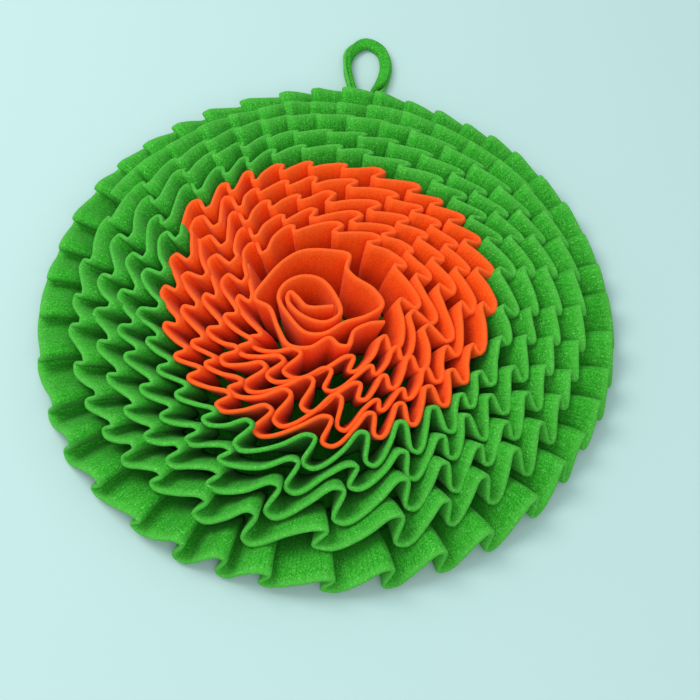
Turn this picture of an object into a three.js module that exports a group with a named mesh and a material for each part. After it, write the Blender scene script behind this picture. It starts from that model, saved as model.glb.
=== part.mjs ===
// A round ruffled snuffle mat. Knife-pleated strips of fleece stand on a flat base cloth in one
// outward spiral: an orange rosette and five orange turns in the middle, five green turns around
// them, and a hang loop of folded fleece at the rim.
// Millimetres, +Z up. The origin is the centre of the base cloth's underside, and +Y points
// towards the hang loop. Angles are counter-clockwise from +X, seen from above.

import * as THREE from 'three';

const FLEECE = 3; // thickness of one layer
const PRESSED = 1.8; // its thickness where it is sewn down
const CLEARANCE = 0.3; // left between pieces that are sewn together
const BASE_RADIUS = 170;
const BASE_SIDES = 96;
const STRIP_WIDTH = 41; // of every ruffle, from the sewn root to the cut edge
const STRIP_FOOT = FLEECE + CLEARANCE; // height at which the ruffles stand on the base cloth

// One row of the table is one turn of ruffle, outward from the rosette. A turn starts and ends at
// its join, and its root and its free edge drift outward from the first radius to the second. A
// turn goes on from the one before it, at the same pleat, but for the last, which is a ring of
// its own.
const TURNS = [
  { name: 'orange_row_5', join: 150, root: [37.5, 47.5], edge: [53, 63.5], pleats: 11.3 },
  { name: 'orange_row_4', join: 150, root: [47.5, 60], edge: [63.5, 77.5], pleats: 15.3 },
  { name: 'orange_row_3', join: 150, root: [60, 73.2], edge: [77.5, 92], pleats: 19.3 },
  { name: 'orange_row_2', join: 150, root: [73.2, 86.6], edge: [92, 106.5], pleats: 23.3 },
  { name: 'orange_row_1', join: 150, root: [86.6, 100], edge: [106.5, 121], pleats: 26.3 },
  { name: 'green_row_1', join: 150, root: [100, 112.2], edge: [121, 136], pleats: 29.3 },
  { name: 'green_row_2', join: 150, root: [112.2, 124], edge: [136, 151], pleats: 32.3 },
  { name: 'green_row_3', join: 150, root: [124, 135.5], edge: [151, 166], pleats: 35.3 },
  { name: 'green_row_4', join: 150, root: [137.5, 147.5], edge: [169.2, 182.5], pleats: 38.3 },
  { name: 'green_row_5', join: 85, root: [159.4, 159.4], edge: [199, 199], pleats: 42 },
];
const FIRST_PHASE = 0.15; // where in a pleat the first turn starts
const SOLVER_PASSES = 40; // that turn a pleat into an angle
const SOLVER_STEP = 0.6; // share of what is left that each of them covers

// The inner turns lie a little off the middle of the base cloth.
const CENTRE_DRIFT = [-2, -10];
const DRIFT_REACH = 199; // radius at which the turns are centred

// The pleats bunch up and lie flat at the upper right, and spread and stand open at the bottom.
// A row of the table is one swell of their pitch: how often it comes round, the angle at which it is
// at its widest, by how much, and how far that angle turns from one turn of ruffle to the next.
const SPREAD = [
  { times: 1, towards: 250, size: 0.16, turning: 0 },
  { times: 4, towards: 262, size: 0.1, turning: 3 },
  { times: 9, towards: 213, size: 0.1, turning: -7 },
  { times: 16, towards: 251, size: 0.05, turning: 4 },
];
const OPEN_TOWARDS = 245;
const PITCH_JITTER = 0.02;

// Half the depth of a pleat: at the root, and at the free edge where neighbouring turns clash or
// interlock.
const ROOT_DEPTH = 3;
const EDGE_DEPTH_FLAT = 5.2;
const EDGE_DEPTH_OPEN = 10;
const CLASHING_SHARE = 0.25; // of the distance between turns
const NESTED_SHARE = 0.6;
const INTERLOCK = 0.3; // lead of the outer turn, in pleats, at which two turns nest best
const LOCKING = 0.55; // share by which the folds of a turn keep to those of the one inside it
const DEPTH_JITTER = 0.14;

const JOIN_GAP = 0.05; // pleats left open between two turns
const CUT_SIDE = [0.12, 0.86]; // where in a pleat a turn can be cut
const CUT_SPARE = 0.04; // least part of a pleat between a cut and the next corner

// Section of one knife pleat, counter-clockwise: across is in pleats, out is in half depths. It
// turns at its outermost fold, climbs slowly inward, turns at its inner fold and doubles back.
const PLEAT = [
  { across: -0.06, out: 0.68 },
  { across: 0.04, out: 1 },
  { across: 0.18, out: 0.86 },
  { across: 0.55, out: -0.1 },
  { across: 0.92, out: -1 },
  { across: 1.06, out: -0.82 },
];
// How far the pleats double back, against their section: at the root, and at the free edge where
// they stand open and where they lie flat.
const ROOT_OVERHANG = 0.15;
const OPEN_OVERHANG = 0.3;
const FLAT_OVERHANG = 1.4;
const OVERHANG_DEPTHS = [1.5, 4.5]; // half depths from which a pleat can double back, and in full

// The outermost turn lifts over the loop that comes out beneath it.
const LOOP_ANGLE = 81;
const LOOP_LIFT_REACH = 8; // degrees
const LOOP_TUCK = 3; // how far the lifted edge draws in

// Plan of the rosette's free edge, in the order in which the strip is rolled: its folded inner end,
// the core around that, and a loose turn with a petal, which runs on into a last outer bend.
const ROLLED_END = [[7, -15.6], [-12.4, -16.4], [-20, -8], [-25, -3.6], [-27, -10], [-17, -23]];
const CORE = [[0.8, -29], [12, -21], [7, -4], [-3, 8], [-16, 10], [-29, 3], [-33.5, -8], [-25, -25]];
const PETAL_TURN = [
  [-13, -38], [0, -39], [15, -30], [32, -24], [43, -15], [37, -2], [22, 10], [17, 18],
  [19, 30], [5, 33.5], [-16, 33], [-29, 25], [-42, 9],
];
const OUTER_BENDS = [
  [-51, -9], [-40, -17], [-34, -33], [-25, -49], [-10, -51], [4, -43], [11, -49], [18, -49],
  [22, -37], [33, -31], [44, -30],
];
const ROSETTE_CENTRE = [-8, -9];
const ROSETTE_SIZE = 0.92; // of the free edge's plan
const ROSETTE_ROOT = [0.82, 0.6]; // size of the root's plan against it, at the core and outermost
const ROSETTE_HEIGHT = 40;
const ROSETTE_STEPS = 136;

// Plan of the hang loop's middle line, from the base cloth's rim out, round the eye and back.
const LOOP_ROUTE = [
  [26.3, 168.9], [26, 184], [24.5, 200], [20.5, 216], [18, 234], [21.5, 251], [33, 260.5],
  [45, 253], [49, 237], [45.5, 219], [37.5, 203], [34.4, 184], [34.2, 167.8],
];
const LOOP_STEPS = 44;
const LOOP_NARROW = 6.4; // where the folded strip stands on edge
const LOOP_BROAD = 10; // where it lies over on its side
const LOOP_TALL = 8.5;
const LOOP_FLAT = 4; // height of its ends, pressed under the ruffle
const LOOP_CHAMFER = 0.28; // share of the section's sides that its soft corners take
const LOOP_RISE = [0.04, 0.26]; // shares of its length over which each end grows to full height
const LOOP_TURNS_OVER = [0.3, 0.5]; // shares over which it rolls onto its side
const LOOP_TURNS_BACK = [0.72, 0.86];

const MITRE_LIMIT = 0.55; // least cosine that a mitred offset is divided by

const GREEN = { color: 0x3fb535, roughness: 0.95, metalness: 0 };
const ORANGE = { color: 0xfa5a14, roughness: 0.95, metalness: 0 };

const radians = THREE.MathUtils.degToRad;
const mix = THREE.MathUtils.lerp;
const smooth = THREE.MathUtils.smoothstep;

// A repeatable value from -1 to 1 for the unevenness of hand sewing.
function uneven(pleat, kind) {
  const scattered = Math.sin(12.9898 * pleat + 78.233 * kind) * 43758.5453;
  return 2 * (scattered - Math.floor(scattered)) - 1;
}

// ---- closed solids from rings of corners ----

// Joins a run of equal rings of corners with quads and closes its two ends.
function sweep(rings) {
  const around = rings[0].length;
  const positions = rings.flat(2);
  const index = [];
  for (let i = 0; i + 1 < rings.length; i += 1) {
    for (let k = 0; k < around; k += 1) {
      const a = i * around + k;
      const b = i * around + ((k + 1) % around);
      index.push(a, b, b + around, a, b + around, a + around);
    }
  }
  const last = (rings.length - 1) * around;
  for (let k = 1; k + 1 < around; k += 1) {
    index.push(0, k + 1, k, last, last + k, last + k + 1);
  }
  const geometry = new THREE.BufferGeometry();
  geometry.setAttribute('position', new THREE.Float32BufferAttribute(positions, 3));
  geometry.setIndex(index);
  geometry.computeVertexNormals();
  return geometry;
}

// Mitred unit offsets to the right of a path in its own plane.
function mitres(path) {
  return path.map((point, i) => {
    const before = path[Math.max(i - 1, 0)];
    const after = path[Math.min(i + 1, path.length - 1)];
    const into = new THREE.Vector2(point[1] - before[1], before[0] - point[0]);
    const from = new THREE.Vector2(after[1] - point[1], point[0] - after[0]);
    if (i === 0) into.copy(from);
    if (i === path.length - 1) from.copy(into);
    into.normalize();
    from.normalize();
    const middle = into.clone().add(from).normalize();
    return middle.divideScalar(Math.max(middle.dot(from), MITRE_LIMIT));
  });
}

// ---- the ruffled turns ----

// Angle from a turn's join on to another angle, within one full turn.
function travelled(turn, angle) {
  return THREE.MathUtils.euclideanModulo(angle - radians(turn.join), 2 * Math.PI);
}

// From 0, where the pleats lie flat, to 1, where they stand open.
function openness(angle) {
  return 0.5 + 0.5 * Math.cos(angle - radians(OPEN_TOWARDS));
}

// Share of a turn's pleats that lie between its join and an angle.
function turnShare(row, angle) {
  const start = radians(TURNS[row].join);
  const bunching = SPREAD.map(({ times, towards, size, turning }) => {
    const crest = radians(towards + turning * row);
    return (size / times) * (Math.sin(times * (angle - crest)) - Math.sin(times * (start - crest)));
  });
  return (angle - start - bunching.reduce((sum, one) => sum + one)) / (2 * Math.PI);
}

// Pleats sewn before each turn. The last turn starts at a whole pleat.
const firstPhases = TURNS.map((turn, row) => {
  const before = TURNS.slice(0, row).reduce((sum, earlier) => sum + earlier.pleats, FIRST_PHASE);
  return row === TURNS.length - 1 ? Math.ceil(before) : before;
});

// The pleat phase of a turn at an angle, were its pleats spread evenly.
function evenPhase(row, angle) {
  return firstPhases[row] + TURNS[row].pleats * turnShare(row, angle);
}

// The pleat phase of a turn at an angle. The folds keep to those of the turn inside it.
function phaseAt(row, angle) {
  if (row === 0 || row === TURNS.length - 1) return evenPhase(row, angle);
  const lead = evenPhase(row, angle) - evenPhase(row - 1, angle);
  const held = (LOCKING / (2 * Math.PI)) * Math.sin(2 * Math.PI * (lead - INTERLOCK));
  return phaseAt(row - 1, angle) + lead - held;
}

// The angle at which a turn has reached a pleat phase.
function turnAngle(row, phase) {
  const { join, pleats } = TURNS[row];
  let angle = radians(join) + (2 * Math.PI * (phase - firstPhases[row])) / pleats;
  for (let pass = 0; pass < SOLVER_PASSES; pass += 1) {
    angle += (SOLVER_STEP * 2 * Math.PI * (phase - phaseAt(row, angle))) / pleats;
  }
  return angle;
}

// The pleat phase of a turn where it passes an angle of another turn.
function phasePassing(row, angle) {
  return phaseAt(row, radians(TURNS[row].join) + travelled(TURNS[row], angle));
}

// From 0, where the folds of two turns meet head on, to 1, where they nest.
function nesting(inner, outer, angle) {
  const lead = phasePassing(outer, angle) - phasePassing(inner, angle);
  return 0.5 + 0.5 * Math.cos(2 * Math.PI * (lead - INTERLOCK));
}

// Half depth that two neighbouring turns leave each other: a share of the distance from the
// inner one's free edge to the outer one's cloth.
function sharedDepth(inner, outer, angle) {
  if (inner < 0 || outer >= TURNS.length) return EDGE_DEPTH_OPEN;
  const near = profile(inner, angle, travelled(TURNS[inner], angle) / (2 * Math.PI));
  const far = profile(outer, angle, travelled(TURNS[outer], angle) / (2 * Math.PI));
  const distance = near.rise * Math.sin(far.lean) - (near.edge - far.root) * Math.cos(far.lean);
  return Math.abs(distance) * mix(CLASHING_SHARE, NESTED_SHARE, nesting(inner, outer, angle));
}

// Half depth of the pleats at a turn's free edge.
function edgeDepth(row, angle, pleat) {
  const depth = Math.min(
    mix(EDGE_DEPTH_FLAT, EDGE_DEPTH_OPEN, openness(angle)),
    sharedDepth(row - 1, row, angle),
    sharedDepth(row, row + 1, angle),
  );
  return depth * (1 - DEPTH_JITTER * Math.abs(uneven(pleat, 1)));
}

// How far the outermost turn's edge draws in where it lifts over the loop.
function loopTuck(row, angle) {
  if (row !== TURNS.length - 1) return 0;
  const off = THREE.MathUtils.euclideanModulo(THREE.MathUtils.radToDeg(angle) - LOOP_ANGLE + 180, 360);
  return LOOP_TUCK * Math.exp(-(((off - 180) / LOOP_LIFT_REACH) ** 2));
}

// Middle radii, height and lean of a turn at an angle, which it reaches after a share of its way.
function profile(row, angle, share) {
  const turn = TURNS[row];
  const root = mix(turn.root[0], turn.root[1], share);
  const edge = mix(turn.edge[0], turn.edge[1], share) - loopTuck(row, angle);
  const rise = Math.sqrt(STRIP_WIDTH ** 2 - (edge - root) ** 2);
  return { root, edge, rise, lean: Math.atan2(edge - root, rise) };
}

// The half depths out at a place on the slow side of a pleat.
function slowSide(across) {
  const next = PLEAT.findIndex((point) => point.across > across);
  const [from, to] = [PLEAT[next - 1], PLEAT[next]];
  return mix(from.out, to.out, (across - from.across) / (to.across - from.across));
}

// The point at which a turn is cut across the slow side of a pleat, on one side of its join.
function cutPoint(join, side) {
  const pleat = Math.floor(join);
  const across = THREE.MathUtils.clamp(join - pleat, ...CUT_SIDE) + (side * JOIN_GAP) / 2;
  return { phase: pleat + across, pleat, across, out: slowSide(across) };
}

// The section points of a turn, as phases along the strip and their places in the pleat.
function sectionPoints(row) {
  const begin = cutPoint(firstPhases[row], 1);
  const end = cutPoint(firstPhases[row] + TURNS[row].pleats, -1);
  const points = [];
  for (let pleat = begin.pleat; pleat <= end.pleat; pleat += 1) {
    for (const point of PLEAT) points.push({ phase: pleat + point.across, pleat, ...point });
  }
  const inside = (point) => point.phase > begin.phase + CUT_SPARE && point.phase < end.phase - CUT_SPARE;
  return [begin, ...points.filter(inside), end];
}

// A point at a radius from the middle of the turns there.
function place(radius, angle, height) {
  const drift = Math.max(1 - radius / DRIFT_REACH, 0);
  return [
    radius * Math.cos(angle) + drift * CENTRE_DRIFT[0],
    radius * Math.sin(angle) + drift * CENTRE_DRIFT[1],
    height,
  ];
}

// One turn: a closed strip of cloth between its root line and its free edge.
function ruffle(row) {
  const turn = TURNS[row];
  const stations = sectionPoints(row).map((point) => {
    const fold = Math.round(point.pleat + point.across); // each doubling back moves as one
    const shift = PITCH_JITTER * uneven(fold, 6);
    const beyond = point.across - THREE.MathUtils.clamp(point.across, 0, 1);
    const level = (share) => turnAngle(row, point.phase + shift - beyond * (1 - share));
    const depth = edgeDepth(row, level(0), fold);
    const overhang = mix(FLAT_OVERHANG, OPEN_OVERHANG, openness(level(0)));
    const edgeAngle = level(overhang * smooth(depth, ...OVERHANG_DEPTHS));
    const rootAngle = level(ROOT_OVERHANG);
    return { rootAngle, edgeAngle, rootOut: ROOT_DEPTH * point.out, edgeOut: depth * point.out };
  });
  const ownProfile = (angle) => {
    const share = (angle - radians(turn.join)) / (2 * Math.PI);
    return profile(row, angle, THREE.MathUtils.clamp(share, 0, 1));
  };
  const shape = ownProfile(stations[0].edgeAngle);
  const rootPath = stations.map((s) => [s.rootAngle * shape.root, s.rootOut]);
  const edgePath = stations.map((s) => [s.edgeAngle * shape.edge, s.edgeOut]);
  const rootMitres = mitres(rootPath);
  const edgeMitres = mitres(edgePath);
  const rings = stations.map((s, i) => {
    const here = ownProfile(s.edgeAngle);
    const rootHalf = Math.min(PRESSED / 2 / Math.cos(here.lean), PRESSED);
    const rootCorner = (side) => {
      const angle = s.rootAngle + (side * PRESSED * rootMitres[i].x) / 2 / here.root;
      const radius = here.root + s.rootOut + side * rootHalf * rootMitres[i].y;
      return place(radius, angle, STRIP_FOOT);
    };
    const edgeCorner = (side) => {
      const angle = s.edgeAngle + (side * FLEECE * edgeMitres[i].x) / 2 / here.edge;
      const out = s.edgeOut + (side * FLEECE * edgeMitres[i].y) / 2;
      const radius = here.edge + out * Math.cos(here.lean);
      const height = STRIP_FOOT + here.rise - out * Math.sin(here.lean);
      return place(radius, angle, height);
    };
    return [rootCorner(1), edgeCorner(1), edgeCorner(-1), rootCorner(-1)];
  });
  return sweep(rings);
}

// ---- the rosette ----

// The rosette's plan at a size, which can change from the rolled end to the outer bend.
function rosettePlan(size) {
  const bends = [...ROLLED_END, ...CORE, ...PETAL_TURN, ...OUTER_BENDS];
  const curve = new THREE.CatmullRomCurve3(
    bends.map(([x, y]) => new THREE.Vector3(x, y, 0)), false, 'centripetal');
  return curve.getSpacedPoints(ROSETTE_STEPS).map((point, i) => {
    const scale = size(i / ROSETTE_STEPS);
    return [mix(ROSETTE_CENTRE[0], point.x, scale), mix(ROSETTE_CENTRE[1], point.y, scale)];
  });
}

function rosette() {
  const edgePath = rosettePlan(() => ROSETTE_SIZE);
  const rootPath = rosettePlan((share) => ROSETTE_SIZE * mix(...ROSETTE_ROOT, share));
  const edgeMitres = mitres(edgePath);
  const rootMitres = mitres(rootPath);
  const rings = edgePath.map((point, i) => {
    const corner = (path, offsets, side, thick, height) => [
      path[i][0] + (side * thick * offsets[i].x) / 2,
      path[i][1] + (side * thick * offsets[i].y) / 2,
      height,
    ];
    const top = STRIP_FOOT + ROSETTE_HEIGHT;
    return [
      corner(rootPath, rootMitres, -1, PRESSED, STRIP_FOOT),
      corner(edgePath, edgeMitres, -1, FLEECE, top),
      corner(edgePath, edgeMitres, 1, FLEECE, top),
      corner(rootPath, rootMitres, 1, PRESSED, STRIP_FOOT),
    ];
  });
  return sweep(rings);
}

// ---- the base cloth and the hang loop ----

function baseCloth() {
  const disc = new THREE.CylinderGeometry(BASE_RADIUS, BASE_RADIUS, FLEECE, BASE_SIDES);
  disc.rotateX(Math.PI / 2);
  disc.translate(0, 0, FLEECE / 2);
  return disc;
}

function hangLoop() {
  const points = LOOP_ROUTE.map(([x, y]) => new THREE.Vector3(x, y, 0));
  const route = new THREE.CatmullRomCurve3(points, false, 'centripetal').getSpacedPoints(LOOP_STEPS);
  const path = route.map((p) => [p.x, p.y]);
  const offsets = mitres(path);
  const rings = path.map((point, i) => {
    const share = i / LOOP_STEPS;
    const ends = smooth(Math.min(share, 1 - share), ...LOOP_RISE);
    const over = smooth(share, ...LOOP_TURNS_OVER) * (1 - smooth(share, ...LOOP_TURNS_BACK));
    const width = mix(LOOP_NARROW, LOOP_BROAD, over);
    const tall = mix(LOOP_FLAT, mix(LOOP_TALL, FLEECE * 2, over), ends);
    const side = (across, up) => [
      point[0] + across * width * offsets[i].x,
      point[1] + across * width * offsets[i].y,
      up * tall,
    ];
    const soft = LOOP_CHAMFER;
    return [
      side(soft - 0.5, 0), side(-0.5, soft), side(-0.5, 1 - soft), side(soft - 0.5, 1),
      side(0.5 - soft, 1), side(0.5, 1 - soft), side(0.5, soft), side(0.5 - soft, 0),
    ];
  });
  return sweep(rings);
}

// ---- the model ----

function piece(name, geometry, look) {
  const mesh = new THREE.Mesh(geometry, new THREE.MeshStandardMaterial(look));
  mesh.name = name;
  return mesh;
}

const mat = new THREE.Group();
mat.add(piece('base_cloth', baseCloth(), GREEN));
mat.add(piece('rosette', rosette(), ORANGE));
TURNS.forEach((turn, row) => {
  const look = turn.name.startsWith('orange') ? ORANGE : GREEN;
  mat.add(piece(turn.name, ruffle(row), look));
});
mat.add(piece('hang_loop', hangLoop(), GREEN));

export default mat;
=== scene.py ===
"""Dresses a round ruffled snuffle mat in brushed fleece.

Knife-pleated strips stand on a round base cloth in one outward spiral: an orange rosette and five
orange turns in the middle, five green turns around them, and a hang loop at the rim. The tables
below are in millimetres and degrees; every mesh is made in metres, +Z up, with the origin under
the middle of the base cloth.
"""

import logging
import math
from dataclasses import dataclass
from enum import Enum, IntEnum

import bpy
import numpy as np
from bpy.types import ID, Material, Mesh, Node, NodeSocket, NodeTree, Object
from numpy import ndarray as Array
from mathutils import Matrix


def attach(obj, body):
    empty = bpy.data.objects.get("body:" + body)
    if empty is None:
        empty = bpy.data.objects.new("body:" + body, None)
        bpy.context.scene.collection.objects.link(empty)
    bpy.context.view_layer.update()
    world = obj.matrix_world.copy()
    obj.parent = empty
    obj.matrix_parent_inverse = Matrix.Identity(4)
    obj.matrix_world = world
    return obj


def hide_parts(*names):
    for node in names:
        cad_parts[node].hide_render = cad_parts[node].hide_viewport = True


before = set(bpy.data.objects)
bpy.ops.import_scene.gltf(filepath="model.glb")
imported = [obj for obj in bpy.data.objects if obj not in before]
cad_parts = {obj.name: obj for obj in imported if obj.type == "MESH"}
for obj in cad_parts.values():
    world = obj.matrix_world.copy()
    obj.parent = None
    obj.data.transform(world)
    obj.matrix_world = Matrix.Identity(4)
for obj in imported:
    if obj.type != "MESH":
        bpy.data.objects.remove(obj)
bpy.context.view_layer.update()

LOG = logging.getLogger("snuffle_mat")
MM = 0.001
TURN = 2 * math.pi
BODY = "root"


class Slot(Enum):
    """The record's material slots."""

    GREEN = "green_fleece"
    ORANGE = "orange_fleece"


class Run(IntEnum):
    """Independent runs of unevenness, one for each thing that varies in hand sewing."""

    DEPTH = 1
    WAVER = 3
    ROLL = 4
    PITCH = 6
    OPENING = 9


# ---- sizes of the mat, millimetres

FLEECE = 3.0
PRESSED = 1.8
CLEARANCE = 0.3
BASE_RADIUS = 170.0
STRIP_WIDTH = 41.0
STRIP_FOOT = FLEECE + CLEARANCE


@dataclass(frozen=True)
class Turn:
    """One turn of ruffle, from the angle of its join, in degrees, once round.

    Its root and its free edge drift outward from the first radius to the second.
    """

    node: str
    join: float
    root: tuple[float, float]
    edge: tuple[float, float]
    pleats: float


TURNS = (
    Turn("orange_row_5", 150, (37.5, 47.5), (53, 63.5), 11.3),
    Turn("orange_row_4", 150, (47.5, 60), (63.5, 77.5), 15.3),
    Turn("orange_row_3", 150, (60, 73.2), (77.5, 92), 19.3),
    Turn("orange_row_2", 150, (73.2, 86.6), (92, 106.5), 23.3),
    Turn("orange_row_1", 150, (86.6, 100), (106.5, 121), 26.3),
    Turn("green_row_1", 150, (100, 112.2), (121, 136), 29.3),
    Turn("green_row_2", 150, (112.2, 124), (136, 151), 32.3),
    Turn("green_row_3", 150, (124, 135.5), (151, 166), 35.3),
    Turn("green_row_4", 150, (137.5, 147.5), (169.2, 182.5), 38.3),
    Turn("green_row_5", 85, (159.4, 159.4), (199, 199), 42),
)
FIRST_PHASE = 0.15

# The angle of a pleat is solved for in so many passes, each taking a share of the way that is left.
SOLVER_PASSES = 40
SOLVER_STEP = 0.6

# The inner turns lie a little off the middle of the base cloth.
CENTRE_DRIFT = (-2.0, -10.0)
DRIFT_REACH = 199.0


@dataclass(frozen=True)
class Swell:
    """One swell in the pleats' pitch.

    It comes round so many times a turn and is widest at an angle, which turns from one turn of
    ruffle to the next.
    """

    times: int
    towards: float
    size: float
    turning: float


# The pleats bunch up and lie flat at the upper right, and spread and stand open at the bottom.
SPREAD = (
    Swell(1, 250, 0.16, 0), Swell(4, 262, 0.1, 3), Swell(9, 213, 0.1, -7), Swell(16, 251, 0.05, 4),
)
OPEN_TOWARDS = 245
PITCH_JITTER = 0.03

# Half depth of a pleat, at the root and at the free edge.
ROOT_DEPTH = 3.0
EDGE_DEPTH_FLAT = 5.2
EDGE_DEPTH_OPEN = 10.0

# Share of the room between two turns that each may fill, where their pleats clash and where they
# nest; the lead, in pleats, at which they nest; and how firmly the folds keep to that lead.
CLASHING_SHARE = 0.25
NESTED_SHARE = 0.6
INTERLOCK = 0.3
LOCKING = 0.55
DEPTH_JITTER = 0.14

# Section of one knife pleat, counter-clockwise: across in pleats, out in half depths.
PLEAT_ACROSS = np.array([-0.06, 0.04, 0.18, 0.55, 0.92, 1.06])
PLEAT_OUT = np.array([0.68, 1.0, 0.86, -0.1, -1.0, -0.82])

# A corner further across than this hangs over the next pleat, and still counts as this one's.
LAST_OWN = 0.93

# How far the pleats double back at the root, and the half depths over which they start to.
ROOT_OVERHANG = 0.15
OVERHANG_DEPTHS = (1.5, 4.5)

# How far the free edges stand in from the even lean of the turns: turns from the middle, and mm.
# All round they do by one share of it, less so at the two sides, and more so at the near side.
UPRIGHT = ((0, 1.0), (1, 3.0), (2, 4.5), (3, 5.5), (5, 7.0), (6, 5.0), (7, 3.0), (8, 1.0), (9, 0.0))
UPRIGHT_ALL_ROUND = 0.85
UPRIGHT_LESS_AT_SIDES = 0.4
UPRIGHT_MORE_AT_NEAR_SIDE = 0.3

# The rim tucks in a little at the hang loop: at which angle, over how many degrees, and how far.
LOOP_ANGLE = 81
LOOP_TUCK_REACH = 8
LOOP_TUCK = 3


# ---- small sums


def mix(low: Array, high: Array, share: Array) -> Array:
    """The value a share of the way from low to high."""
    return low + (high - low) * share


def ease(share: Array) -> Array:
    """A share from 0 to 1, slowed down at both ends."""
    return share * share * (3 - 2 * share)


def smoothstep(value: Array, low: float, high: float) -> Array:
    """Rises smoothly from 0 at low to 1 at high."""
    return ease(np.clip((value - low) / (high - low), 0, 1))


def unit(vectors: Array) -> Array:
    """Vectors of length one along the last axis."""
    return vectors / np.maximum(np.linalg.norm(vectors, axis=-1, keepdims=True), 1e-9)


def run_along(line: Array) -> Array:
    """Distance along a line from its first point, at each of its points."""
    return np.concatenate([[0.0], np.linalg.norm(np.diff(line, axis=0), axis=-1).cumsum()])


def uneven(pleat: Array, run: Run) -> Array:
    """A repeatable value from -1 to 1 for each whole pleat, scattered by a steep sine."""
    scattered = np.sin(12.9898 * pleat + 78.233 * run) * 43758.5453
    return 2 * (scattered - np.floor(scattered)) - 1


def drift(phase: Array, run: Run) -> Array:
    """Unevenness that changes smoothly along the strip.

    Args:
        phase: way along it, in pleats.
        run: which run of values it takes.

    Returns:
        The value of each pleat, from -1 to 1, blended into the next.
    """
    low = np.floor(phase)
    share = ease(phase - low)
    return uneven(low, run) * (1 - share) + uneven(low + 1, run) * share


# ---- where the turns stand


def openness(angle: Array) -> Array:
    """From 0, where the pleats lie flat, to 1, where they stand open."""
    return 0.5 + 0.5 * np.cos(angle - math.radians(OPEN_TOWARDS))


def upright(turns: Array, angle: Array) -> Array:
    """How far a free edge stands in.

    Args:
        turns: turns from the innermost, in fractions.
        angle: radians.

    Returns:
        Millimetres: most at the near side, least at the two sides.
    """
    share = UPRIGHT_ALL_ROUND - UPRIGHT_LESS_AT_SIDES * np.cos(2 * angle)
    share = share - UPRIGHT_MORE_AT_NEAR_SIDE * np.sin(angle)
    return share * np.interp(turns, *np.array(UPRIGHT).T)


def place(radius: Array, angle: Array, height: Array) -> Array:
    """Points round the middle of the turns, which drifts by radius.

    Args:
        radius: distance from that middle, in millimetres.
        angle: radians.
        height: above the underside.

    Returns:
        Rows of x, y and z.
    """
    off = np.maximum(1 - radius / DRIFT_REACH, 0)
    x = radius * np.cos(angle) + off * CENTRE_DRIFT[0]
    y = radius * np.sin(angle) + off * CENTRE_DRIFT[1]
    return np.stack([x, y, height], axis=-1)


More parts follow.
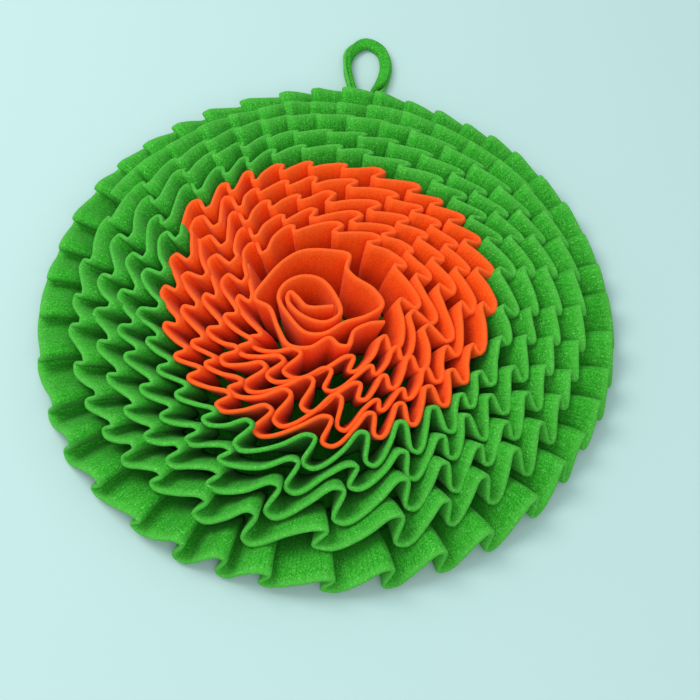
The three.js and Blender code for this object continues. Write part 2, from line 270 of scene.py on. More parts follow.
class Spiral:
    """The sewing line of the mat: where every pleat of every turn stands."""

    def __init__(self, turns: tuple[Turn, ...]) -> None:
        """Counts the pleats sewn before each turn.

        Args:
            turns: from the innermost to the rim, which starts at a whole pleat.
        """
        self.turns = turns
        self.start = [math.radians(turn.join) for turn in turns]
        self.first = [FIRST_PHASE]
        for turn in turns[:-1]:
            self.first.append(self.first[-1] + turn.pleats)
        self.first[-1] = math.ceil(self.first[-1])

    def share(self, row: int, angle: Array) -> Array:
        """Share of a turn's pleats that lie between its join and an angle.

        Args:
            row: index of the turn.
            angle: radians.

        Returns:
            From 0 at the join to 1 a full turn on.
        """
        start = self.start[row]
        share = angle - start
        for swell in SPREAD:
            crest = math.radians(swell.towards + swell.turning * row)
            run = np.sin(swell.times * (angle - crest)) - math.sin(swell.times * (start - crest))
            share = share - swell.size / swell.times * run
        return share / TURN

    def even_phase(self, row: int, angle: Array) -> Array:
        """The pleat phase of a turn at an angle, were its pleats spread evenly."""
        return self.first[row] + self.turns[row].pleats * self.share(row, angle)

    def phase(self, row: int, angle: Array) -> Array:
        """The pleat phase at an angle. The folds keep to those of the turn inside it.

        Args:
            row: index of the turn.
            angle: radians.

        Returns:
            Whole at each pleat's start.
        """
        if row in (0, len(self.turns) - 1):
            return self.even_phase(row, angle)
        lead = self.even_phase(row, angle) - self.even_phase(row - 1, angle)
        held = LOCKING / TURN * np.sin(TURN * (lead - INTERLOCK))
        return self.phase(row - 1, angle) + lead - held

    def angle(self, row: int, phase: Array) -> Array:
        """The angle at which a turn has reached a pleat phase.

        Args:
            row: index of the turn.
            phase: the pleat phase.

        Returns:
            Radians.
        """
        step = TURN / self.turns[row].pleats
        angle = self.start[row] + step * (phase - self.first[row])
        for _ in range(SOLVER_PASSES):
            angle = angle + SOLVER_STEP * step * (phase - self.phase(row, angle))
        return angle

    def travelled(self, row: int, angle: Array) -> Array:
        """Angle from a turn's join on to another angle, within one full turn."""
        return np.mod(angle - self.start[row], TURN)

    def passing(self, row: int, angle: Array) -> Array:
        """Pleat phase of a turn where it passes an angle of another turn."""
        return self.phase(row, self.start[row] + self.travelled(row, angle))

    def profile(self, row: int, angle: Array, share: Array) -> dict[str, Array]:
        """Middle radii, height and lean of a turn at an angle.

        Args:
            row: index of the turn.
            angle: radians.
            share: share of the turn's way, which sets its radii.

        Returns:
            Arrays named root, edge, rise and lean.
        """
        turn = self.turns[row]
        root = mix(*turn.root, share)
        edge = mix(*turn.edge, share)
        if row == len(self.turns) - 1:
            off = np.mod(np.degrees(angle) - LOOP_ANGLE + 180, 360) - 180
            edge = edge - LOOP_TUCK * np.exp(-((off / LOOP_TUCK_REACH) ** 2))
        rise = np.sqrt(STRIP_WIDTH**2 - (edge - root) ** 2)
        return {"root": root, "edge": edge, "rise": rise, "lean": np.arctan2(edge - root, rise)}

    def shared_depth(self, inner: int, outer: int, angle: Array) -> Array:
        """Half depth that two neighbouring turns leave each other.

        Args:
            inner: index of the inner turn, or -1 where there is none.
            outer: index of the next turn.
            angle: radians.

        Returns:
            Millimetres.
        """
        if inner < 0 or outer >= len(self.turns):
            return np.full_like(angle, EDGE_DEPTH_OPEN)
        near = self.profile(inner, angle, self.travelled(inner, angle) / TURN)
        far = self.profile(outer, angle, self.travelled(outer, angle) / TURN)
        lead = self.passing(outer, angle) - self.passing(inner, angle)
        nesting = 0.5 + 0.5 * np.cos(TURN * (lead - INTERLOCK))
        across = (near["edge"] - far["root"]) * np.cos(far["lean"])
        distance = near["rise"] * np.sin(far["lean"]) - across
        return np.abs(distance) * mix(CLASHING_SHARE, NESTED_SHARE, nesting)

    def edge_depth(self, row: int, angle: Array, fold: Array) -> Array:
        """Half depth of the pleats at a turn's free edge.

        Args:
            row: index of the turn.
            angle: radians.
            fold: number of the fold, for its unevenness.

        Returns:
            Millimetres.
        """
        depth = mix(EDGE_DEPTH_FLAT, EDGE_DEPTH_OPEN, openness(angle))
        depth = np.minimum(depth, self.shared_depth(row - 1, row, angle))
        depth = np.minimum(depth, self.shared_depth(row, row + 1, angle))
        return depth * (1 - DEPTH_JITTER * np.abs(uneven(fold, Run.DEPTH)))


SPIRAL = Spiral(TURNS)


# ---- curves

PATH_STEPS = 24


def run_through(points: Array, steps: int, measured: int) -> Array:
    """A smooth centripetal curve through points.

    Args:
        points: its corners, each a row of any number of values.
        steps: how many steps it takes from one corner to the next.
        measured: how many of the values, from the first on, are places in millimetres.

    Returns:
        The corners and the values in between, in order.
    """
    ends = np.concatenate([[2 * points[0] - points[1]], points, [2 * points[-1] - points[-2]]])
    strides = np.linalg.norm(np.diff(ends[:, :measured], axis=0), axis=-1) ** 0.5
    knots = np.concatenate([[0.0], np.maximum(strides, 1e-3).cumsum()])[:, None, None]
    p = [ends[i : len(ends) - 3 + i, None, :] for i in range(4)]
    k = [knots[i : len(ends) - 3 + i] for i in range(4)]
    t = mix(k[1], k[2], (np.arange(steps) / steps)[None, :, None])
    a = [(p[i] * (k[i + 1] - t) + p[i + 1] * (t - k[i])) / (k[i + 1] - k[i]) for i in range(3)]
    b = [(a[i] * (k[i + 2] - t) + a[i + 1] * (t - k[i])) / (k[i + 2] - k[i]) for i in range(2)]
    fine = (b[0] * (k[2] - t) + b[1] * (t - k[1])) / (k[2] - k[1])
    return np.concatenate([fine.reshape(-1, points.shape[1]), points[-1:]])


def even_path(points: tuple, steps: int) -> Array:
    """A smooth path through points, evenly spaced.

    Args:
        points: its corners, each an x and a y.
        steps: how many steps it has from end to end.

    Returns:
        Rows of x and y.
    """
    fine = run_through(np.asarray(points, dtype=float), PATH_STEPS, 2)
    run = run_along(fine)
    even = np.linspace(0, run[-1], steps + 1)
    return np.stack([np.interp(even, run, fine[:, k]) for k in range(fine.shape[1])], axis=1)


# ---- cloth meshes


def add_object(name: str, data: ID) -> Object:
    """Puts a mesh, light or camera into the scene, at the origin.

    Args:
        name: of the object.
        data: the mesh, light or camera.

    Returns:
        The object.
    """
    thing = bpy.data.objects.new(name, data)
    bpy.context.scene.collection.objects.link(thing)
    return thing


def make_object(name: str, points: Array, faces: list, edges: tuple | list = ()) -> Object:
    """A smooth mesh object at the origin.

    Args:
        name: of the object.
        points: places in millimetres.
        faces: corner numbers of every face.
        edges: end numbers of every loose edge.

    Returns:
        The object.
    """
    mesh = bpy.data.meshes.new(name)
    mesh.from_pydata((points.reshape(-1, 3) * MM).tolist(), edges, faces)
    mesh.shade_smooth()
    return add_object(name, mesh)


def give_cloth_map(
    mesh: Mesh,
    along: Array,
    across: Array,
    cut: Array,
    unshaded: Array,
) -> None:
    """Stores where each corner lies on the cloth.

    Args:
        mesh: gets the UV map "cloth", in millimetres, and the attributes "cut_edge" and "unshaded".
        along: distance along the strip, one value a vertex.
        across: distance from the root.
        cut: how much of it is cut edge, from 0 to 1.
        unshaded: from 0, deep between the turns, where the fleece paints the most shade, to 1,
        where it paints none.
    """
    loops = np.empty(len(mesh.loops), dtype=np.int32)
    mesh.loops.foreach_get("vertex_index", loops)
    uv = np.stack([along.ravel(), across.ravel()], axis=-1)[loops]
    mesh.uv_layers.new(name="cloth").data.foreach_set("uv", uv.astype(np.float32).ravel())
    for name, values in (("cut_edge", cut), ("unshaded", unshaded)):
        layer = mesh.attributes.new(name, "FLOAT", "POINT")
        layer.data.foreach_set("value", values.astype(np.float32).ravel())


class Sheet:
    """A thick sheet with a rounded cut edge, made from the middle surface of the cloth."""

    CAP = 5
    EDGE_BAND = 1.4
    FULL_BY = 0.35

    def __init__(
        self, name: str, middle: Array, foot: float, root: float = PRESSED / 2
    ) -> None:
        """Thickens a middle surface.

        Args:
            name: of the object.
            middle: stations by levels by xyz, in millimetres, from the root to the free edge.
            foot: height that no part of the sheet goes below.
            root: half its thickness at the root, which grows to full thickness further up.
        """
        self.name = name
        self.middle = middle
        self.foot = foot
        grown = smoothstep(np.linspace(0, 1, middle.shape[1]), 0, self.FULL_BY)
        self.half = mix(root, FLEECE / 2, grown)[None, :, None]

    def rings(self) -> tuple[Array, Array, Array]:
        """Closed section rings.

        Returns:
            Points, stations by corners by xyz; the distance of each corner from the root; and
            how much of each corner is cut edge, from 0 to 1.
        """
        along = np.gradient(self.middle, axis=0)
        across = np.gradient(self.middle, axis=1)
        normal = unit(np.cross(along, across))
        front = self.middle + normal * self.half
        back = self.middle - normal * self.half
        top, out, side = self.middle[:, -1], unit(across[:, -1]), normal[:, -1]
        cap = []
        for step in range(1, self.CAP):
            turn = math.pi * step / self.CAP
            cap.append(top + FLEECE / 2 * (side * math.cos(turn) + out * math.sin(turn)))
        points = np.concatenate([front, np.stack(cap, axis=1), back[:, ::-1]], axis=1)
        points[..., 2] = np.maximum(points[..., 2], self.foot)
        run = np.linalg.norm(np.diff(self.middle, axis=1), axis=-1).cumsum(axis=1)
        run = np.concatenate([np.zeros_like(run[:, :1]), run], axis=1)
        width = run[:, -1:]
        level = np.concatenate([run, np.repeat(width, self.CAP - 1, axis=1), run[:, ::-1]], axis=1)
        cut = np.clip(1 - (width - level) / self.EDGE_BAND, 0, 1)
        return points, level, cut

    def build(self) -> Object:
        """Makes the object, with the cloth's map.

        Returns:
            The object, which has no material yet.
        """
        points, level, cut = self.rings()
        stations, corners = points.shape[:2]
        length = run_along(self.middle[:, -1])
        index = np.arange(stations * corners).reshape(stations, corners)
        a, b = index[:-1], index[1:]
        faces = np.stack([a, b, np.roll(b, -1, 1), np.roll(a, -1, 1)], axis=-1)
        faces = faces.reshape(-1, 4).tolist()
        for ring, flip in ((index[0], False), (index[-1], True)):
            for k in range((corners - 1) // 2):
                face = [ring[k], ring[k + 1], ring[corners - 2 - k], ring[corners - 1 - k]]
                faces.append([int(v) for v in (face[::-1] if flip else face)])
        piece = make_object(self.name, points, faces)
        # Painted shade: the most at the root, none at the free edge, and none on a sheet that rests
        # on the floor.
        unshaded = np.clip(level / level.max(axis=1, keepdims=True), float(self.foot == 0), 1)
        along = np.repeat(length[:, None], corners, axis=1)
        give_cloth_map(piece.data, along, level, cut, unshaded)
        return piece


# ---- the ruffles


@dataclass(frozen=True)
class Ruffle:
    """One long knife-pleated strip that stands on the base cloth over several turns.

    Pairs hold the value where the pleats lie flat and the one where they stand open.
    """

    name: str
    rows: tuple[int, ...]
    slot: Slot
    steps: int = 5
    levels: int = 9
    bulge: float = 3.0
    flare: float = 1.5
    waver: float = 1.1
    waver_pace: float = 0.8
    swing_power: float = 1.7
    crisp: tuple[float, float] = (0.8, 0.0)
    deepening: tuple[float, float] = (1.2, 1.55)
    depth_jitter: float = 0.2
    overhang: tuple[float, float] = (1.5, 1.4)

    END_CLEARANCE = 0.04
    END_PLACES = (0.1, 0.88)

    def pleat_corners(self) -> tuple[Array, Array, Array, Array]:
        """The corners of the strip's pleats.

        Returns:
            The pleat, the place across it and the place out of each corner, and its row.
        """
        first = SPIRAL.first[self.rows[0]]
        last = SPIRAL.first[self.rows[-1]] + TURNS[self.rows[-1]].pleats
        pleat = np.arange(math.floor(first), math.ceil(last) + 1, dtype=float)
        pleat, across = (grid.ravel() for grid in np.meshgrid(pleat, PLEAT_ACROSS, indexing="ij"))
        out = np.tile(PLEAT_OUT, len(pleat) // len(PLEAT_OUT))
        key = pleat + np.clip(across, 0, LAST_OWN)
        keep = (key > first + self.END_CLEARANCE) & (key < last - self.END_CLEARANCE)
        ends = []
        for phase in (first, last):
            whole = math.floor(phase)
            side = np.clip(phase - whole, *self.END_PLACES)
            ends.append((whole, side, np.interp(side, PLEAT_ACROSS, PLEAT_OUT)))
        table = np.stack([pleat[keep], across[keep], out[keep]], axis=1)
        table = np.concatenate([[ends[0]], table, [ends[1]]])
        key = table[:, 0] + np.clip(table[:, 1], 0, LAST_OWN)
        bounds = [SPIRAL.first[row] for row in self.rows[1:]]
        row = np.searchsorted(bounds, key, side="right") + self.rows[0]
        return table[:, 0], table[:, 1], table[:, 2], row

    def turn_corners(
        self, row: int, pleat: Array, across: Array, out: Array
    ) -> Array:
        """Where the corners of one turn stand.

        Args:
            row: index of the turn.
            pleat: number of each corner's pleat.
            across: its place across the pleat.
            out: its place out, in half depths.

        Returns:
            Rows of the free edge's way along and out, the root's way out, both angles, both
            radii, the height of the free edge and the pleat phase.
        """
        fold = np.round(pleat + across)
        phase = pleat + across + PITCH_JITTER * uneven(fold, Run.PITCH)
        beyond = across - np.clip(across, 0, 1)
        rough = SPIRAL.angle(row, phase - beyond)
        depth = SPIRAL.edge_depth(row, rough, fold)
        opened = openness(rough)
        overhang = mix(*self.overhang, opened) * smoothstep(depth, *OVERHANG_DEPTHS)
        loose = 1 + self.depth_jitter * uneven(fold, Run.OPENING)
        depth = depth * mix(*self.deepening, opened) * loose
        edge_angle = SPIRAL.angle(row, phase - beyond * (1 - overhang))
        root_angle = SPIRAL.angle(row, phase - beyond * (1 - ROOT_OVERHANG))
        share = np.clip((edge_angle - SPIRAL.start[row]) / TURN, 0, 1)
        shape = SPIRAL.profile(row, edge_angle, share)
        shape["edge"] = shape["edge"] - upright(row + share, edge_angle)
        round_angle = TURN * (row - self.rows[0])
        return np.stack([
            (edge_angle + round_angle) * shape["edge"].mean(), depth * out, ROOT_DEPTH * out,
            edge_angle + round_angle, root_angle + round_angle, shape["root"], shape["edge"],
            shape["rise"], pleat + across,
        ], axis=1)

    def middle(self) -> Array:
        """The middle surface of the strip's cloth.

        Returns:
            Stations by levels by xyz, in millimetres.
        """
        pleat, across, out, rows = self.pleat_corners()
        turns = [
            self.turn_corners(row, pleat[rows == row], across[rows == row], out[rows == row])
            for row in self.rows
        ]
        corners = np.concatenate(turns)
        straight = np.arange((len(corners) - 1) * self.steps + 1) / self.steps
        straight = np.stack(
            [np.interp(straight, np.arange(len(corners)), column) for column in corners.T], axis=1
        )
        fine = run_through(corners, self.steps, 2)
        crisp = mix(*self.crisp, openness(fine[:, 3]))[:, None]
        fine = mix(fine, straight, crisp)
        _, edge_out, root_out, edge_angle, root_angle, root, edge, rise, phase = fine.T
        lean = np.arctan2(edge - root, rise)
        surface = []
        for level in np.linspace(0, 1, self.levels):
            angle = mix(root_angle, edge_angle, level)
            swing = mix(root_out, edge_out, 1 - (1 - level) ** self.swing_power)
            arch = self.bulge * math.sin(math.pi * level) - self.flare * level**3
            lift = self.waver * level * drift(phase * self.waver_pace, Run.WAVER)
            run = np.hypot(rise, edge - root) * level + lift
            radius = root + run * np.sin(lean) + (swing - arch * np.sin(lean)) * np.cos(lean)
            height = STRIP_FOOT + run * np.cos(lean) - (swing - arch) * np.sin(lean)
            surface.append(place(radius, angle, np.maximum(height, STRIP_FOOT)))
        return np.stack(surface, axis=1)

    def build(self) -> Object:
        """Makes the strip, which stands for its turns' nodes.

        Returns:
            The finished piece.
        """
        middle = self.middle()
        piece = Sheet(self.name, middle, STRIP_FOOT).build()
        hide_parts(*[TURNS[row].node for row in self.rows])
        return finish_piece(piece, self.slot)


# ---- rosette, base and loop


@dataclass(frozen=True)
class Rosette:
    """The rolled strip in the middle: a folded end, a core and one loose turn with a petal."""

    name: str = "rosette_strip"
    centre: tuple[float, float] = (-8, -9)
    size: float = 0.92
    root_size: tuple[float, float] = (0.84, 0.76)
    root_shift: tuple[float, float] = (0, -6)
    lean_power: float = 1.15
    waver: float = 0.8
    waver_bends: float = 22
    height: float = 40
    steps: int = 560
    levels: int = 10

    ROLLED_END = ((7, -15.6), (-12.4, -16.4), (-20, -8), (-25, -3.6), (-27, -10), (-17, -23))
    CORE = (
        (0.8, -29), (12, -21), (7, -4), (-3, 8), (-16, 10), (-29, 3), (-33.5, -8), (-25, -25),
    )
    PETAL_TURN = (
        (-13, -38), (0, -39), (15, -30), (32, -24), (43, -15), (37, -2), (22, 10), (17, 18),
        (19, 30), (5, 33.5), (-16, 33), (-29, 25), (-42, 9),
    )
    OUTER_BENDS = (
        (-51, -9), (-40, -17), (-34, -33), (-25, -49), (-10, -51), (4, -43), (11, -49), (18, -49),
        (22, -37), (33, -31), (44, -30),
    )

    def middle(self) -> Array:
        """The middle surface of the strip's cloth.

        Returns:
            Stations by levels by xyz, in millimetres.
        """
        bends = self.ROLLED_END + self.CORE + self.PETAL_TURN + self.OUTER_BENDS
        plan = even_path(bends, self.steps)
        centre = np.array(self.centre)
        share = np.linspace(0, 1, len(plan))[:, None]
        edge = centre + (plan - centre) * self.size
        root = centre + (plan - centre) * self.size * mix(*self.root_size, share)
        root = root + np.array(self.root_shift)
        surface = []
        for level in np.linspace(0, 1, self.levels):
            line = mix(root, edge, level**self.lean_power)
            lift = self.waver * level * drift(share * self.waver_bends, Run.ROLL)
            height = STRIP_FOOT + self.height * level + lift
            surface.append(np.concatenate([line, height], axis=1))
        return np.stack(surface, axis=1)[::-1]

    def build(self) -> Object:
        """Makes the rosette, which stands for its node.

        Returns:
            The finished piece.
        """
        middle = self.middle()
        piece = Sheet(self.name, middle, STRIP_FOOT).build()
        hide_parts("rosette")
        return finish_piece(piece, Slot.ORANGE)


@dataclass(frozen=True)
class BaseCloth:
    """The round cloth that every strip is sewn to, puckered along the seams on its underside."""

    name: str = "base_sheet"
    rings: int = 76
    sectors: int = 288
    edge_steps: int = 5
    edge_band: float = 0.5
    pucker: float = 0.55
    pucker_reach: float = 1.6

    CENTRING_PASSES = 2

    def seam_distance(self, x: Array, y: Array) -> Array:
        """Distance from places on the cloth to the nearest seam.

        Args:
            x: millimetres to the right of the middle.
            y: millimetres towards the loop.

        Returns:
            Millimetres.
        """
        nearest = np.full(x.shape, np.inf)
        for row in range(len(TURNS)):
            off_x, off_y = x, y
            for _ in range(self.CENTRING_PASSES):
                off = np.maximum(1 - np.hypot(off_x, off_y) / DRIFT_REACH, 0)
                off_x, off_y = x - off * CENTRE_DRIFT[0], y - off * CENTRE_DRIFT[1]
            angle = np.arctan2(off_y, off_x)
            shape = SPIRAL.profile(row, angle, SPIRAL.travelled(row, angle) / TURN)
            nearest = np.minimum(nearest, np.abs(np.hypot(off_x, off_y) - shape["root"]))
        return nearest

    def build(self) -> Object:
        """Makes the cloth, which stands for its node.

        Returns:
            The finished piece.
        """
        half = FLEECE / 2
        turns = np.pi * np.arange(1, self.edge_steps) / self.edge_steps - np.pi / 2
        flat = np.linspace(0, BASE_RADIUS - half, self.rings)[1:]
        radius = np.concatenate([flat, flat[-1] + half * np.cos(turns), flat[::-1]])
        under, over = np.zeros_like(flat), np.full_like(flat, FLEECE)
        height = np.concatenate([under, half + half * np.sin(turns), over])
        angle = TURN * np.arange(self.sectors) / self.sectors
        x, y = np.outer(radius, np.cos(angle)), np.outer(radius, np.sin(angle))
        z = np.repeat(height[:, None], self.sectors, axis=1)
        dent = self.pucker * np.exp(-((self.seam_distance(x, y) / self.pucker_reach) ** 2))
        z = z + np.where(z == 0, dent, 0)
        points = np.stack([x, y, z], axis=-1).reshape(-1, 3)
        points = np.concatenate([points, [[0, 0, 0], [0, 0, FLEECE]]])
        index = np.arange(len(radius) * self.sectors).reshape(len(radius), self.sectors)
        a, b = index[:-1], index[1:]
        faces = np.stack([a, np.roll(a, -1, 1), np.roll(b, -1, 1), b], axis=-1)
        faces = faces.reshape(-1, 4).tolist()
        bottom, top = len(points) - 2, len(points) - 1
        for k in range(self.sectors):
            after = (k + 1) % self.sectors
            faces.append([bottom, int(index[0, after]), int(index[0, k])])
            faces.append([top, int(index[-1, k]), int(index[-1, after])])
        piece = make_object(self.name, points, faces)
        away = np.hypot(points[:, 0], points[:, 1])
        cut = np.clip((away - BASE_RADIUS + half + self.edge_band) / half, 0, 1)
        # Painted shade over the cloth's whole top side, between the strips; none on its underside.
        unshaded = np.where(points[:, 2] < half, 1.0, 0.0)
        give_cloth_map(piece.data, points[:, 0], points[:, 1], cut, unshaded)
        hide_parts("base_cloth")
        return finish_piece(piece, Slot.GREEN)


@dataclass(frozen=True)
class HangLoop:
    """A strip folded in two along its length, bent round an eye and sewn in at the rim.

    Its fold rolls over sideways at the top of the eye, and its ends lie flat under the rim. Pairs
    after the layers' gap are shares of the way along it.
    """

    name: str = "hang_strip"
    steps: int = 150
    leg_steps: int = 4
    fold_steps: int = 6
    narrow: float = 8.3
    broad: float = 10.0
    layer_gap: tuple[float, float] = (3.3, 4.8)
    gap_opens: tuple[float, float] = (0.6, 0.8)
    rise: tuple[float, float] = (0.04, 0.26)
    turns_over: tuple[float, float] = (0.3, 0.5)
    turns_back: tuple[float, float] = (0.72, 0.86)

    ROUTE = (
        (26.3, 168.9), (26, 184), (24.5, 200), (20.5, 216), (18, 234), (21.5, 251), (33, 260.5),
        (45, 253), (49, 237), (45.5, 219), (37.5, 203), (34.4, 184), (34.2, 167.8),
    )
    END_HEIGHT = 4.0

    def middle(self) -> Array:
        """The middle surface of the folded strip's cloth.

        Returns:
            Stations by levels by xyz, in millimetres.
        """
        path = even_path(self.ROUTE, self.steps)
        ahead = unit(np.gradient(path, axis=0))
        right = np.stack([ahead[:, 1], -ahead[:, 0]], axis=1)
        share = np.linspace(0, 1, len(path))
        ends = smoothstep(np.minimum(share, 1 - share), *self.rise)
        over = smoothstep(share, *self.turns_over) * (1 - smoothstep(share, *self.turns_back))
        wide = mix(mix(self.END_HEIGHT, self.narrow, ends), self.broad, over) - FLEECE
        roll = over * math.pi / 2
        gap = mix(*self.layer_gap, smoothstep(share, *self.gap_opens) * ends)
        tall = mix(wide + FLEECE, gap + FLEECE, over)
        bend = gap / 2
        leg = np.linspace(0, 1, self.leg_steps + 1)
        fold = np.linspace(0, math.pi, self.fold_steps + 1)[1:-1]
        surface = []
        for side, places in ((1, leg), (0, fold), (-1, leg[::-1])):
            for s in places:
                if side:
                    deep, off = -wide / 2 + (wide - bend) * s, side * bend
                else:
                    deep, off = wide / 2 - bend + bend * math.sin(s), bend * math.cos(s)
                across = off * np.cos(roll) + deep * np.sin(roll)
                up = tall / 2 - deep * np.cos(roll) + off * np.sin(roll)
                line = path + right * across[:, None]
                surface.append(np.concatenate([line, up[:, None]], axis=1))
        return np.stack(surface, axis=1)

    def build(self) -> Object:
        """Makes the loop, which stands for its node.

        Returns:
            The finished piece.
        """
        middle = self.middle()
        piece = Sheet(self.name, middle, 0.0, root=FLEECE / 2).build()
        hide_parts("hang_loop")
        return finish_piece(piece, Slot.GREEN)


# ---- finishes


def linear(colour: str) -> tuple[float, float, float, float]:
    """Turns an sRGB colour into a linear one.

    Args:
        colour: a hex value such as "#3fb535".

    Returns:
        Red, green, blue and alpha.
    """
    parts = [int(colour[i : i + 2], 16) / 255 for i in (1, 3, 5)]
    turned = [c / 12.92 if c <= 0.04045 else ((c + 0.055) / 1.055) ** 2.4 for c in parts]
    return (*turned, 1.0)


class Tree:
    """A node tree that is written node by node."""

    def __init__(self, tree: NodeTree) -> None:
        """Wraps an empty tree."""
        self.tree = tree

    def add(self, kind: str, settings: dict | None = None, **inputs: object) -> Node:
        """Adds one node with its settings and links.

        Args:
            kind: the node's type name.
            settings: attributes of the node.
            inputs: socket names, with spaces as underscores, or in_0, in_1 and so on for a
                socket's place, each to a value or to the socket that it is linked to.

        Returns:
            The node.
        """
        node = self.tree.nodes.new(kind)
        for key, value in (settings or {}).items():
            setattr(node, key, value)
        for key, value in inputs.items():
            socket = node.inputs[int(key[3:]) if key.startswith("in_") else key.replace("_", " ")]
            if isinstance(value, NodeSocket):
                self.tree.links.new(value, socket)
            else:
                socket.default_value = value
        return node


def empty_material(name: str) -> tuple[Material, Tree]:
    """A material without nodes, and its tree.

    Args:
        name: of the material.

    Returns:
        Both.
    """
    material = bpy.data.materials.new(name)
    material.use_nodes = True
    material.node_tree.nodes.clear()
    return material, Tree(material.node_tree)


@dataclass(frozen=True)
class Fleece:
    """Brushed anti-pill polyester fleece: matte, with a short curled nap over a fine knitted rib.

    The nap's curls are 0.3 mm wide in the real cloth and show as tufts of about 1.3 mm, so they
    are drawn that coarse. The tips that catch the light make pale flecks. Deep between the turns,
    near the strips' roots and over the base cloth's top, shade is painted into the colour, which
    is darker there. Lengths are in millimetres.
    """

    name: str
    lit: str
    deep: str
    cut: str
    fleck: str
    sheen: str
    # Painted shade: the colour laid over the fleece deep between the turns.
    painted_shade: str
    nap: float = 1.3
    tip_share: float = 0.8
    patch: float = 26.0
    patch_share: float = 0.3
    rib: float = 1.7
    rib_stretch: float = 0.1
    rib_share: float = 0.45
    contrast: float = 0.17
    cut_share: float = 0.6
    fleck_share: float = 0.6
    fleck_from: tuple[float, float] = (0.58, 0.7)
    # How much shade is painted at most, and over which range of the mask it fades out.
    painted_shade_share: float = 0.6
    painted_shade_from: tuple[float, float] = (0.3, 0.9)
    relief: float = 0.8
    relief_depth: float = 0.9
    roughness: float = 0.95
    rim: float = 0.14
    rim_roughness: float = 0.45
    gloss: float = 0.12

    def noises(self, tree: Tree) -> list[NodeSocket]:
        """The cloth's patterns.

        Args:
            tree: the material's.

        Returns:
            Its curls, its tips that catch the light, its faded patches and its ribs.
        """
        mat = tree.add("ShaderNodeTexCoord").outputs["Object"]
        cloth = tree.add("ShaderNodeUVMap", {"uv_map": "cloth"}).outputs["UV"]
        ribbed = tree.add(
            "ShaderNodeMapping", {"vector_type": "POINT"},
            Vector=cloth, Scale=(1 / self.rib, self.rib_stretch / self.rib, 1.0),
        ).outputs["Vector"]
        tip = self.nap * self.tip_share
        noises = []
        for where, dimensions, scale, detail, roughness, distortion in (
            (mat, "3D", 1 / (self.nap * MM), 3.0, 0.62, 0.0),
            (mat, "3D", 1 / (tip * MM), 1.0, 0.5, 0.6),
            (mat, "3D", 1 / (self.patch * MM), 2.0, 0.5, 0.0),
            (ribbed, "2D", 1.0, 1.0, 0.5, 0.0),
        ):
            noises.append(tree.add(
                "ShaderNodeTexNoise", {"noise_dimensions": dimensions}, Vector=where, Scale=scale,
                Detail=detail, Roughness=roughness, Distortion=distortion,
            ).outputs["Fac"])
        return noises

    def material(self) -> Material:
        """Makes the fleece: the nap scatters light, so there is no gloss, only a soft pale rim.

        Returns:
            The material.
        """
        material, tree = empty_material(self.name)
        curls, tips, patches, ribs = self.noises(tree)
        pile = curls
        for part, share in ((ribs, self.rib_share), (patches, self.patch_share)):
            pile = tree.add(
                "ShaderNodeMath", {"operation": "MULTIPLY_ADD"}, in_0=part, in_1=share, in_2=pile,
            ).outputs[0]
        middle = (1 + self.rib_share + self.patch_share) / 2
        cut, unshaded_mask = (
            tree.add("ShaderNodeAttribute", {"attribute_name": name}).outputs["Fac"]
            for name in ("cut_edge", "unshaded")
        )
        shares = [
            tree.add(
                "ShaderNodeMapRange",
                Value=value, From_Min=low, From_Max=high, To_Min=at_low, To_Max=at_high,
            ).outputs[0]
            for value, (low, high), at_low, at_high in (
                (pile, (middle - self.contrast, middle + self.contrast), 0.0, 1.0),
                (cut, (0.0, 1.0), 0.0, self.cut_share),
                (tips, self.fleck_from, 0.0, self.fleck_share),
                # Painted shade: darker deep between the turns, near the roots and on the base
                # cloth's top.
                (unshaded_mask, self.painted_shade_from, self.painted_shade_share, 0.0),
            )
        ]
        colour = linear(self.deep)
        for share, towards in zip(shares, (self.lit, self.cut, self.fleck, self.painted_shade)):
            colour = tree.add(
                "ShaderNodeMix", {"data_type": "RGBA"},
                in_0=share, in_6=colour, in_7=linear(towards),
            ).outputs[2]
        bump = tree.add(
            "ShaderNodeBump",
            Height=pile, Strength=self.relief, Distance=self.relief_depth * MM,
        ).outputs["Normal"]
        shader = tree.add(
            "ShaderNodeBsdfPrincipled",
            Base_Color=colour, Roughness=self.roughness, Normal=bump,
            Sheen_Weight=self.rim, Sheen_Roughness=self.rim_roughness,
            Sheen_Tint=linear(self.sheen), Specular_IOR_Level=self.gloss,
        )
        tree.add("ShaderNodeOutputMaterial", Surface=shader.outputs[0])
        return material


@dataclass(frozen=True)
class Thread:
    """Spun polyester sewing thread: a soft lustre broken by its twist, about 0.5 mm apart."""

    name: str = "green_polyester_thread"
    colour: str = "#3a9a34"
    shade: str = "#226d20"
    twist: float = 0.5
    roughness: float = 0.6

    def material(self) -> Material:
        """Makes the thread, with its twist as fine dark lines.

        Returns:
            The material.
        """
        material, tree = empty_material(self.name)
        mat = tree.add("ShaderNodeTexCoord").outputs["Object"]
        plies = tree.add(
            "ShaderNodeTexNoise", {"noise_dimensions": "3D"},
            Vector=mat, Scale=1 / (self.twist * MM), Detail=1.0,
        ).outputs["Fac"]
        colour = tree.add(
            "ShaderNodeMix", {"data_type": "RGBA"},
            in_0=plies, in_6=linear(self.shade), in_7=linear(self.colour),
        ).outputs[2]
        shader = tree.add("ShaderNodeBsdfPrincipled", Base_Color=colour, Roughness=self.roughness)
        tree.add("ShaderNodeOutputMaterial", Surface=shader.outputs[0])
        return material


# The last colour of each fleece is painted shade, laid deep between the turns and near the roots.
FINISHES = {
    Slot.GREEN: Fleece(
        "green_brushed_fleece", lit="#3bb02e", deep="#218a18", cut="#52b842", fleck="#7ddb66",
        sheen="#b4f0a0", painted_shade="#0a720a",
    ),
    Slot.ORANGE: Fleece(
        "orange_brushed_fleece", lit="#ff5c0c", deep="#f04606", cut="#fd6626", fleck="#ff8a50",
        sheen="#ffc8a0", painted_shade="#cc1c00", rib_share=0.3, fleck_share=0.2, relief=0.55,
    ),
}
MATERIALS: dict[Slot, Material] = {}


